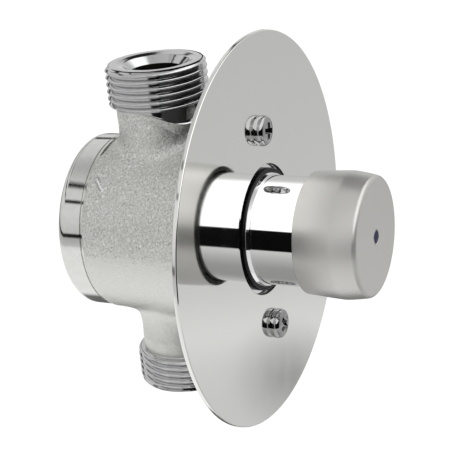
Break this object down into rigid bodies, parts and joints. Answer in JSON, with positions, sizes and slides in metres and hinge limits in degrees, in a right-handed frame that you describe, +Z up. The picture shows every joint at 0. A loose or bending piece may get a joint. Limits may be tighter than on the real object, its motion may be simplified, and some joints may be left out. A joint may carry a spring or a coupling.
{
  "type": "push timed tap",
  "caption": "Concealed self-closing push tap: drum body with opposed threaded ports, round wall plate, chromed sleeve and a sprung push button.",
  "frame": {"origin": "on the push button's axis, at the finished wall surface, which is the back face of the wall plate", "axes": "+Y into the wall along the button's axis, so the button is pressed along +Y; +Z up along the ports, with the outlet at the top; +X to the right as seen from in front of the wall"},
  "size_m": [0.1026, 0.0798, 0.1026],
  "materials": {
    "cast_body": "sand-cast brass with a thin chrome plating, speckled",
    "polished_plate": "polished",
    "screw_chrome": "polished",
    "sleeve_chrome": "mirror polished",
    "fibre": "pressed fibre",
    "black_rubber": "moulded",
    "acetal": "moulded",
    "brass": "turned",
    "spring_steel": "drawn wire",
    "satin_chrome": "satin",
    "blue_dot": "glossy enamel",
    "stem_steel": "ground"
  },
  "bodies": {
    "tap": {"body": "cast_body", "wall_plate": "polished_plate", "plate_screws": "screw_chrome", "bonnet_sleeve": "sleeve_chrome", "flange_washer": "fibre", "sleeve_ring": "black_rubber", "guide_bush": "acetal", "chamber_cap": "brass", "cap_o_ring": "black_rubber", "return_spring": "spring_steel", "valve_seat": "brass", "seat_gasket": "black_rubber", "inlet_strainer": "acetal", "flow_disc": "acetal"},
    "plunger": {"push_button": "satin_chrome", "index_dot": "blue_dot", "button_hub": "brass", "stem": "stem_steel", "piston_clip": "stem_steel", "piston": "brass", "piston_seal": "black_rubber", "valve_washer": "black_rubber", "washer_holder": "brass", "stem_nut": "brass"}
  },
  "joints": [
    {"name": "button_press", "type": "slide", "parent": "tap", "child": "plunger", "axis": [0, 1, 0], "range_m": [0, 0.006], "stiffness_N_per_m": 1200, "springref_m": -0.01, "deforming": ["return_spring"]}
  ]
}
